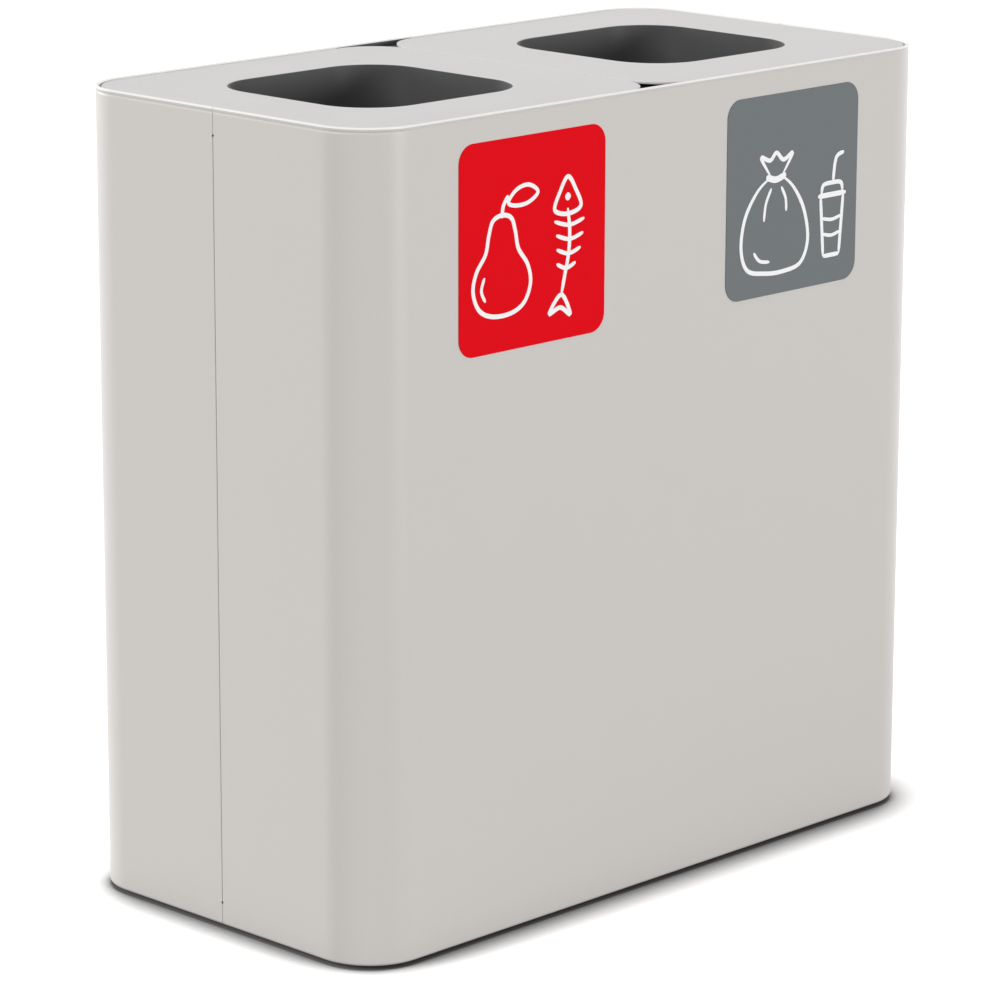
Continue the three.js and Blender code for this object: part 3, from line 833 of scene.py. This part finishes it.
class BIN_OT_lid_seats(bpy.types.Operator):
    """Folds the side rails and the bridge that carry the lids, and makes their rubber pads"""

    bl_idname = "bin.lid_seats"
    bl_label = "Lid seats"

    def execute(self, context):
        thick, bend = SEAT_THICKNESS, SEAT_BEND
        inner = bend - thick
        for name, side in (("left", -1), ("right", 1)):
            node = f"side_rail_{name}"
            low, high = span(node)
            wall = low.x if side < 0 else high.x
            section = [(high.x - low.x, high.z)]
            section += [(bend + bend * p.x, high.z - bend - bend * p.y) for p in fold(270, 180)]
            section += [(0, low.z), (thick, low.z)]
            section += [(bend + inner * p.x, high.z - bend - inner * p.y) for p in fold(180, 270)]
            section += [(high.x - low.x, high.z - thick)]
            bm = bmesh.new()
            rows = [[Vector((wall - side * d, y, z)) for d, z in section] for y in (low.y, high.y)]
            capped(bm, rows)
            add_piece(f"{node}_angle", bm, [finish(BODY)], "cabinet", [node])
        self.add_bridge()
        for i in range(1, 9):
            node = f"lid_pad_{i}"
            low, high = span(node)
            middle = (low + high) / 2
            radius = (high.x - low.x) / 2
            profile = [(radius - inside * MM, low.z + up * MM) for inside, up in PAD_SIDE]
            profile += [(radius - inside * MM, high.z - down * MM) for inside, down in PAD_CROWN]
            bm = bmesh.new()
            turned(bm, profile, Matrix.Translation((middle.x, middle.y, 0)), 32)
            add_piece(f"{node}_rubber", bm, [finish(RUBBER)], "cabinet", [node])
        return {"FINISHED"}

    def add_bridge(self):
        """A channel with wide ends, a stop at each end up to the lids, and an ear on the studs."""
        low, high = span("lid_bridge")
        seat = span("lid_pad_1")[0].z - PAD_GLUE
        under = seat - SOFT  # what is welded below the seat starts inside it
        thick, corner = SEAT_THICKNESS, BRIDGE_CORNER
        half, wide = BRIDGE_HALF_WIDTH, (high.x - low.x) / 2
        end, start = high.y, high.y - BRIDGE_END
        outline = []
        for x_side, y_side in ((1, 1), (-1, 1), (-1, -1), (1, -1)):
            tip = [(wide, start), (wide, end - corner), (wide - corner, end)]
            root = [(half, start)]
            stretch = root + tip if x_side * y_side > 0 else list(reversed(root + tip))
            outline += [Vector((x_side * x, y_side * y)) for x, y in stretch]
        holes = [rounded_about((0, y * FINGER_HOLE_AT), *FINGER_HOLE) for y in (-1, 1)]
        bm = bmesh.new()
        plate(bm, outline, seat - thick, seat, SEAT_EDGE, holes)
        for side in (-1, 1):
            stop = side * (high.y - BRIDGE_STOP)
            back = stop + side * BRIDGE_STOP_THICKNESS
            skirt_end = end - BRIDGE_SKIRT_END
            for bar in (
                ((-wide, wide), (stop, back), (seat - 1 * MM, high.z)),
                ((-half, half), (side * (end - thick), side * end), (low.z, under)),
                ((side * (half - thick), side * half), (-skirt_end, skirt_end), (seat - BRIDGE_SKIRT, under)),
            ):
                solid = bmesh.new()
                block(solid, *zip(*(sorted(pair) for pair in bar)), SEAT_EDGE)
                bm = combined(bm, solid, "UNION")
        add_piece("lid_bridge_channel", bm, [finish(DARK)], "cabinet", ["lid_bridge"])


# ---- Lids and throats ----

LID_THICKNESS = 2 * MM
LID_EDGE = 0.6 * MM
LID_STUD_WELD = 1 * MM  # how far below the lid's top its studs start
THROAT_THICKNESS = 1.5 * MM
THROAT_GAP = 0.3 * MM  # between the throat's collar and the lid's opening
THROAT_FLANGE_DROP = 2.2 * MM  # of the flange's upper face, below the lid's top
THROAT_FLANGE_CORNER = 40 * MM
THROAT_FILLET = 1.2 * MM


class BIN_OT_lids(bpy.types.Operator):
    """Cuts the two lids, with their openings and weld studs"""

    bl_idname = "bin.lids"
    bl_label = "Lids"

    def execute(self, context):
        sizes = context.scene.bin_sizes
        for name, side in (("left", -1), ("right", 1)):
            low, high = span(f"lid_{name}")
            underside = high.z - LID_THICKNESS
            corners = (sizes.lid_outer_corner, sizes.lid_inner_corner)
            right, left = corners if side > 0 else corners[::-1]
            middle = (low + high) / 2
            opening = rounded_about(middle, sizes.opening, sizes.opening, sizes.opening_corner)
            bm = bmesh.new()
            plate(bm, rounded(low.xy, high.xy, right, left, 20), underside, high.z, LID_EDGE, [opening])
            start = high.z - LID_STUD_WELD
            for i in range(1, 5):
                at = middle_of(f"throat_nut_{name}_{i}")
                foot = (at.x, at.y, start)
                turned(bm, stud_profile(M4_RADIUS, 0, start - low.z), towards((0, 0, -1), foot), 16)
            add_piece(f"lid_{name}_plate", bm, [finish(LID)], f"lid_{name}", [f"lid_{name}"])
        return {"FINISHED"}


class BIN_OT_throats(bpy.types.Operator):
    """Folds the two throats, with the flange that lies under the lid"""

    bl_idname = "bin.throats"
    bl_label = "Throats"

    def execute(self, context):
        sizes = context.scene.bin_sizes
        wall, soft, fillet = THROAT_THICKNESS, SOFT, THROAT_FILLET
        outside = sizes.opening - 2 * THROAT_GAP
        corner = sizes.opening_corner - THROAT_GAP
        for name in ("left", "right"):
            low, high = span(f"throat_{name}")
            middle = (low + high) / 2
            flange_top = span(f"lid_{name}")[1].z - THROAT_FLANGE_DROP
            flange = flange_top - wall

            def collar(inset, z):
                return inset_loop(middle, outside, outside, corner, inset, z)

            def brim(inset, z):
                width = high.x - low.x
                return inset_loop(middle, width, width, THROAT_FLANGE_CORNER, inset, z)

            edge, crown = 0.15 * MM, high.z - 0.1 * MM
            rows = [collar(wall, low.z + soft), collar(wall, high.z - soft), collar(wall - edge, crown)]
            rows += [collar(wall / 2, high.z), collar(edge, crown), collar(0, high.z - soft)]
            rows += [collar(0, flange_top + 0.05 * MM), brim(soft, flange_top), brim(0, flange_top - soft)]
            rows += [brim(0, flange + soft), brim(soft, flange), collar(-fillet, flange)]
            rows += [collar(-fillet * 0.3, flange - fillet * 0.3), collar(0, flange - fillet)]
            rows += [collar(0, low.z + soft), collar(soft, low.z), collar(wall - soft, low.z)]
            bm = bmesh.new()
            skin(bm, rows, wrap=True)
            node = f"throat_{name}"
            add_piece(f"{node}_collar", bm, [finish(DARK)], f"lid_{name}", [node])
        return {"FINISHED"}


# ---- Liners and bag rings ----

# The liners' sizes are in millimetres.
LINER_WALL = 2.5
LINER_FLOOR = 3.0
LINER_FOOT = (224, 234, 24)  # width, depth and corner radius of the tub at the floor
LINER_DRAFT = 14  # how much wider the tub is under the rim
LINER_CORNER_DRAFT = 4
LINER_ROUND_OUTSIDE = 4  # of the edge at the floor
LINER_ROUND_INSIDE = 5
LINER_RIM = 4.0  # height
# The rim's section: (width, depth, corner radius, distance below the top).
LINER_RIM_ROWS = (
    (246.4, 256.4, 32.2, 2.4),
    (246.4, 256.4, 32.2, 4.0),
    (249.0, 259.0, 33.5, 4.0),
    (250.0, 260.0, 34.0, 3.5),
    (250.0, 260.0, 34.0, 1.6),
    (249.1, 259.1, 33.5, 0.5),
    (246.8, 256.8, 32.4, 0.0),
    (236.4, 246.4, 27.2, 0.0),
)
GRIP_SLOT = (90 * MM, 22 * MM, 10.5 * MM)  # width, height and corner radius
GRIP_HEIGHT = 546 * MM
BAG_RING_THICKNESS = 1.2 * MM
BAG_RING_LEDGE = 10 * MM
BAG_RING_BEND = 2.2 * MM
BAG_RING_CORNER = 36 * MM
BAG_RING_EDGE = 0.3 * MM


class BIN_OT_liners(bpy.types.Operator):
    """Moulds the two liners, with their rims and grip slots"""

    bl_idname = "bin.liners"
    bl_label = "Liners"

    def execute(self, context):
        wall, outside, inside = LINER_WALL, LINER_ROUND_OUTSIDE, LINER_ROUND_INSIDE
        for name in ("left", "right"):
            low, high = span(f"liner_{name}")
            middle = (low + high) / 2
            rim_low = high.z - LINER_RIM * MM
            drafted = (rim_low - 8 * MM - low.z) / MM
            width, depth, corner = LINER_FOOT

            def ring(width, depth, corner, z):
                return at_height(rounded_about(middle, width * MM, depth * MM, corner * MM, 10), z)

            def tub(inset, z):
                up = min(max((z - low.z) / MM / drafted, 0), 1)
                grow = LINER_DRAFT * up - 2 * inset
                return ring(width + grow, depth + grow, corner + LINER_CORNER_DRAFT * up - inset, z)

            heights = [low.z + (rim_low - low.z) * k / 8 for k in range(1, 8)]
            rows = [tub(14, low.z + 2 * MM), tub(12, low.z), tub(outside, low.z)]
            rows += [tub(outside * (1 - p.y), low.z + outside * MM * (1 - p.x)) for p in fold(15, 90)]
            rows += [tub(0, z) for z in heights]
            rows += [tub(0, high.z - 3.2 * MM), tub(-0.8, high.z - 2.6 * MM), tub(-2.2, high.z - 2.4 * MM)]
            rows += [ring(*size, high.z - drop * MM) for *size, drop in LINER_RIM_ROWS]
            rows += [tub(wall * 0.8, high.z - 0.5 * MM), tub(wall, high.z - 1.8 * MM)]
            rows += [tub(wall, z) for z in reversed(heights)]
            ground = low.z + LINER_FLOOR * MM
            rows += [tub(wall + inside * (1 - p.y), ground + inside * MM * (1 - p.x)) for p in fold(90, 0, 6)]
            bm = bmesh.new()
            capped(bm, rows)
            cutter = bmesh.new()
            upright = standing((middle.x, 0, GRIP_HEIGHT))
            plate(cutter, rounded_about((0, 0), *GRIP_SLOT), low.y, high.y, place=upright)
            bm = combined(bm, cutter, "DIFFERENCE")
            node = f"liner_{name}"
            add_piece(f"{node}_tub", bm, [finish(LINER)], node, [node])
        return {"FINISHED"}


class BIN_OT_bag_rings(bpy.types.Operator):
    """Folds the two rings that hold a bag's edge on the liner's rim"""

    bl_idname = "bin.bag_rings"
    bl_label = "Bag rings"

    def execute(self, context):
        thick, ledge, bend = BAG_RING_THICKNESS, BAG_RING_LEDGE, BAG_RING_BEND
        inner, soft = bend - thick, BAG_RING_EDGE
        for name in ("left", "right"):
            node = f"bag_ring_{name}"
            low, high = span(node)
            middle, size = (low + high) / 2, high - low

            def ring(inset, z):
                return inset_loop(middle, size.x, size.y, BAG_RING_CORNER, inset, z)

            rows = [ring(soft, low.z), ring(0, low.z + soft)]
            rows += [ring(bend + bend * p.x, high.z - bend + bend * p.y) for p in fold(180, 90)]
            rows += [ring(ledge - soft, high.z), ring(ledge, high.z - soft)]
            rows += [ring(ledge, high.z - thick + soft), ring(ledge - soft, high.z - thick)]
            rows += [ring(bend + inner * p.x, high.z - bend + inner * p.y) for p in fold(90, 180)]
            rows += [ring(thick, low.z + soft), ring(thick - soft, low.z)]
            bm = bmesh.new()
            skin(bm, rows, wrap=True)
            add_piece(f"{node}_angle", bm, [finish(DARK)], node, [node])
        return {"FINISHED"}


# ---- Labels ----

# Each drawing is a list of (points, closed, width), in millimetres from the label's middle, with +Y up.
# width is the line's width as a share of the usual one.


def moved(points, x, y, scale=1.0):
    return [(x + scale * a, y + scale * b) for a, b in points]


def pear():
    half = [(0, 30), (9, 27), (13, 17), (16, 5), (25, -7), (28, -20), (22, -33), (9, -39)]
    body = half + [(-x, y) for x, y in reversed(half[1:])]
    return [
        (body, True, 1.0),
        ([(0, 28), (1, 36), (6, 43)], False, 1.0),
        ([(6, 38), (14, 46), (26, 48), (35, 42), (26, 36), (14, 35)], True, 0.9),
        ([(-17, -11), (-20, -20), (-16, -28)], False, 0.8),
    ]


def fish_bone():
    spine = [(0, 22), (2, 6), (1, -10), (-3, -26), (-6, -38)]
    lines = [
        (spine, False, 1.0),
        ([(-13, 22), (-8, 34), (0, 44), (8, 34), (13, 22), (0, 18)], True, 1.0),
        ([(-6, -38), (-18, -50), (-7, -47), (3, -53)], True, 1.0),
        ([(-1.5, 30), (0, 31.5), (1.5, 30), (0, 28.5)], True, 0.8),
    ]
    for x, y, reach in ((1.6, 10, 15), (2, 0, 13.5), (1, -10, 12), (-1.4, -20, 9.5)):
        lines.append(([(x - reach, y + 4), (x, y), (x + reach, y + 3)], False, 0.9))
    return lines


def tied_sack():
    body = [(-7, 22), (-21, 13), (-34, -5), (-38, -27), (-31, -44), (-12, -49), (9, -50)]
    body += [(29, -46), (37, -29), (32, -6), (20, 12), (7, 22)]
    return [
        (body, False, 1.0),
        ([(-11, 23), (0, 20), (11, 23)], False, 1.5),
        ([(-7, 24), (-17, 38), (-7, 35), (0, 40), (8, 34), (18, 38), (8, 24)], False, 1.0),
        ([(-5, 14), (-11, 3), (-13, -10)], False, 0.8),
        ([(6, 14), (11, 5), (12, -5)], False, 0.8),
        ([(-24, -32), (-17, -39), (-6, -41)], False, 0.8),
    ]


def paper_cup():
    return [
        ([(-13, 0), (-9, -46)], False, 1.0),
        ([(-9, -46), (9, -46)], False, 1.0),
        ([(9, -46), (13, 0)], False, 1.0),
        ([(-16, 0), (16, 0)], False, 1.2),
        ([(-12, 1), (-10, 8), (0, 9), (10, 8), (12, 1)], False, 1.0),
        ([(1, 9), (4, 27), (13, 31)], False, 1.0),
        ([(-11, -17), (0, -19), (11, -17)], False, 0.8),
        ([(-10, -29), (0, -31), (10, -29)], False, 0.8),
    ]


DRAWINGS = {
    "red": ((pear, -31, -9, 1.02), (fish_bone, 35, -4, 1.02)),
    "grey": ((tied_sack, -19, -9, 1.0), (paper_cup, 45, -8, 1.0)),
}


DOME = 0.02 * MM  # the ink stands a little higher along the middle of a line
INK_HEIGHT = 0.06 * MM
INK_SINK = 0.02 * MM  # how far the print reaches into the film
INK_STEP = 0.005 * MM  # each line stands this much higher than the last, so that crossing lines don't flicker
INK_CLEARANCE = 0.13 * MM  # room for the print inside the CAD label's thickness
FILM_GAP = 0.01 * MM
FILM_EDGE = 0.18 * MM


def line_ribbon(bm, points, closed, width, place, thickness):
    """A drawn line as a thin ribbon. An open one narrows a little towards its ends."""
    line = smooth_line([Vector(p) * MM for p in points], closed)
    count = len(line)
    rows = []
    for i, point in enumerate(line):
        before = line[i - 1] if closed or i else line[0]
        after = line[(i + 1) % count] if closed or i < count - 1 else line[-1]
        along = (after - before).normalized()
        across = Vector((-along.y, along.x))
        taper = 1.0 if closed else min(1.0, 0.45 + 0.55 * math.sin(math.pi * i / (count - 1)) * 2.2)
        half = across * width / 2 * taper
        left, right, edge = point - half, point + half, thickness - DOME
        corners = ((right, 0), (left, 0), (left, edge), (point, thickness), (right, edge))
        rows.append([place @ Vector((p.x, p.y, z)) for p, z in corners])
    if closed:
        skin(bm, rows, wrap=True)
    else:
        capped(bm, rows)


class BIN_OT_labels(bpy.types.Operator):
    """Cuts the two labels and prints their drawings"""

    bl_idname = "bin.labels"
    bl_label = "Labels"

    def execute(self, context):
        sizes = context.scene.bin_sizes
        wall = span("front_shell")[0].y
        for name, material in (("red", RED), ("grey", GREY)):
            node = f"label_{name}"
            low, high = span(node)
            middle = (low + high) / 2
            film = wall - low.y - INK_CLEARANCE
            upright = standing((middle.x, wall, middle.z))
            outline = rounded_about((0, 0), high.x - low.x, high.z - low.z, sizes.label_corner)
            bm = bmesh.new()
            plate(bm, outline, FILM_GAP, film, FILM_EDGE, place=upright)
            add_piece(f"{node}_film", bm, [finish(material)], "cabinet", [node])
            bm = bmesh.new()
            surface_place = upright @ Matrix.Translation((0, 0, film - INK_SINK))
            height = INK_HEIGHT
            for drawing, x, y, scale in DRAWINGS[name]:
                for points, closed, width in drawing():
                    stroke = sizes.stroke * width
                    line_ribbon(bm, moved(points, x, y, scale), closed, stroke, surface_place, height)
                    height += INK_STEP
            add_piece(f"{node}_print", bm, [finish(INK)], "cabinet", [node])
        return {"FINISHED"}


# ---- Stage ----

VIEW_AZIMUTH = -45.65  # degrees from the front, towards the left end
VIEW_ELEVATION = 14.03
VIEW_ROLL = 0.17
LENS_MM = 162.1
SENSOR_MM = 36.0
CAMERA_DISTANCE = 3.3942
CAMERA_OFFSET = (0.01009, 0.03207)  # of the middle of the bin in the view, to the right and up
CLIP = (0.05, 200)  # the nearest and the furthest that the camera sees


def add_camera():
    turn, tilt, roll = (math.radians(a) for a in (VIEW_AZIMUTH, VIEW_ELEVATION, VIEW_ROLL))
    right = Vector((math.cos(turn), math.sin(turn), 0))
    level = Vector((-math.sin(turn), math.cos(turn), 0))
    forward = level * math.cos(tilt) - Vector((0, 0, math.sin(tilt)))
    up = right.cross(forward)
    leaning_right = right * math.cos(roll) + up * math.sin(roll)
    leaning_up = up * math.cos(roll) - right * math.sin(roll)
    middle = Vector((0, 0, span("front_shell")[1].z / 2))
    aside = leaning_right * CAMERA_OFFSET[0] + leaning_up * CAMERA_OFFSET[1]
    place = middle - aside - forward * CAMERA_DISTANCE
    data = bpy.data.cameras.new("camera")
    data.lens = LENS_MM
    data.sensor_width = SENSOR_MM
    data.clip_start, data.clip_end = CLIP
    camera = bpy.data.objects.new("camera", data)
    bpy.context.collection.objects.link(camera)
    axes = Matrix((leaning_right, leaning_up, -forward)).transposed().to_4x4()
    camera.matrix_world = Matrix.Translation(place) @ axes
    bpy.context.scene.camera = camera


def add_sun(name, azimuth, elevation, strength, spread):
    """A soft lamp far away. The azimuth is that of the view from it, counted as the camera's is."""
    data = bpy.data.lights.new(name, "SUN")
    data.energy = strength
    data.angle = math.radians(spread)
    lamp = bpy.data.objects.new(name, data)
    bpy.context.collection.objects.link(lamp)
    a, e = math.radians(azimuth), math.radians(elevation)
    back = Vector((math.sin(a) * math.cos(e), -math.cos(a) * math.cos(e), math.sin(e)))
    lamp.rotation_mode = "QUATERNION"
    lamp.rotation_quaternion = back.to_track_quat("Z", "Y")


def seen_directly(tree):
    """1 for a ray from the camera, or one that a mirror or glass passes on, and 0 for light."""
    path = add_node(tree, "ShaderNodeLightPath").outputs
    seen = path["Is Camera Ray"]
    for other in ("Is Glossy Ray", "Is Transmission Ray"):
        seen = add_node(tree, "ShaderNodeMath", {0: seen, 1: path[other]}, operation="MAXIMUM").outputs[0]
    return seen


WORLD_LIGHT = 0.54
FLOOR_SEEN = 2.1  # as bright as keeps a floor in full light white, and lets a shadow show
CONTACT_REACH = 0.06  # how far from the bin the floor darkens
CONTACT_OPEN = (0.4, 0.96)  # the shares of open sky between which the shadow fades
CONTACT_SEEN = 0.2  # the floor's brightness under the bin
FLOOR_BOUNCE = 0.25  # what the floor throws back on the bin
FLOOR_REACH = 60


def add_world():
    world = bpy.data.worlds.new("studio")
    bpy.context.scene.world = world
    world.use_nodes = True
    tree = world.node_tree
    tree.nodes.clear()
    strength = add_node(
        tree, "ShaderNodeMapRange", {"Value": seen_directly(tree), "To Min": WORLD_LIGHT, "To Max": 1.0}
    )
    white = (1, 1, 1, 1)
    light = add_node(tree, "ShaderNodeBackground", {"Color": white, "Strength": strength.outputs["Result"]})
    add_node(tree, "ShaderNodeOutputWorld", {"Surface": light.outputs["Background"]})


def add_floor():
    """A matt white floor. The camera sees it bright enough to stay white, apart from the object's shadow."""
    made, tree = new_material("Floor, matt white")
    nearby = add_node(tree, "ShaderNodeAmbientOcclusion", {"Distance": CONTACT_REACH}, samples=16)
    fade = {"Value": nearby.outputs["AO"], "To Min": CONTACT_SEEN, "To Max": FLOOR_SEEN}
    fade["From Min"], fade["From Max"] = CONTACT_OPEN
    open_sky = add_node(tree, "ShaderNodeMapRange", fade, interpolation_type="SMOOTHSTEP").outputs["Result"]
    tone = add_node(tree, "ShaderNodeMix", {"Factor": seen_directly(tree), 2: FLOOR_BOUNCE, 3: open_sky})
    matt = add_node(tree, "ShaderNodeBsdfDiffuse", {"Color": tone.outputs[0]})
    add_node(tree, "ShaderNodeOutputMaterial", {"Surface": matt.outputs["BSDF"]})
    mesh = bpy.data.meshes.new("floor")
    corners = [(x * FLOOR_REACH, y * FLOOR_REACH, 0) for x, y in ((-1, -1), (1, -1), (1, 1), (-1, 1))]
    mesh.from_pydata(corners, [], [(0, 1, 2, 3)])
    mesh.materials.append(made)
    floor = bpy.data.objects.new("floor", mesh)
    bpy.context.collection.objects.link(floor)


class BIN_OT_stage(bpy.types.Operator):
    """Sets the floor, the lamps and the camera"""

    bl_idname = "bin.stage"
    bl_label = "Stage"

    def execute(self, context):
        context.scene.view_settings.view_transform = "Standard"
        add_world()
        add_floor()
        add_sun("key lamp", azimuth=-106, elevation=28, strength=1.56, spread=30)
        add_sun("front lamp", azimuth=14, elevation=4, strength=1.64, spread=12)
        add_sun("rear lamp", azimuth=-168, elevation=6, strength=1.0, spread=20)
        add_sun("right lamp", azimuth=95, elevation=4, strength=0.4, spread=30)
        add_camera()
        return {"FINISHED"}


class BIN_PT_panel(bpy.types.Panel):
    """The bin's sizes, colours and pieces"""

    bl_idname = "BIN_PT_panel"
    bl_label = "Double recycling bin"
    bl_space_type = "VIEW_3D"
    bl_region_type = "UI"
    bl_category = "Bin"

    def draw(self, context):
        for group in (context.scene.bin_sizes, context.scene.bin_colours):
            column = self.layout.column(align=True)
            for name in group.__annotations__:
                column.prop(group, name)
        column = self.layout.column(align=True)
        for operator in OPERATORS:
            column.operator(operator.bl_idname)


OPERATORS = (
    BIN_OT_shells,
    BIN_OT_floor,
    BIN_OT_fasteners,
    BIN_OT_lid_seats,
    BIN_OT_lids,
    BIN_OT_throats,
    BIN_OT_liners,
    BIN_OT_bag_rings,
    BIN_OT_labels,
    BIN_OT_stage,
)
CLASSES = (BinColours, BinSizes, *OPERATORS, BIN_PT_panel)


def register():
    for cls in CLASSES:
        bpy.utils.register_class(cls)
    bpy.types.Scene.bin_colours = PointerProperty(type=BinColours)
    bpy.types.Scene.bin_sizes = PointerProperty(type=BinSizes)


def unregister():
    del bpy.types.Scene.bin_sizes
    del bpy.types.Scene.bin_colours
    for cls in reversed(CLASSES):
        bpy.utils.unregister_class(cls)


def main():
    register()
    bpy.ops.bin.shells()
    bpy.ops.bin.floor()
    bpy.ops.bin.fasteners()
    bpy.ops.bin.lid_seats()
    bpy.ops.bin.lids()
    bpy.ops.bin.throats()
    bpy.ops.bin.liners()
    bpy.ops.bin.bag_rings()
    bpy.ops.bin.labels()
    bpy.ops.bin.stage()
    bpy.context.view_layer.update()


if __name__ == "__main__":
    main()
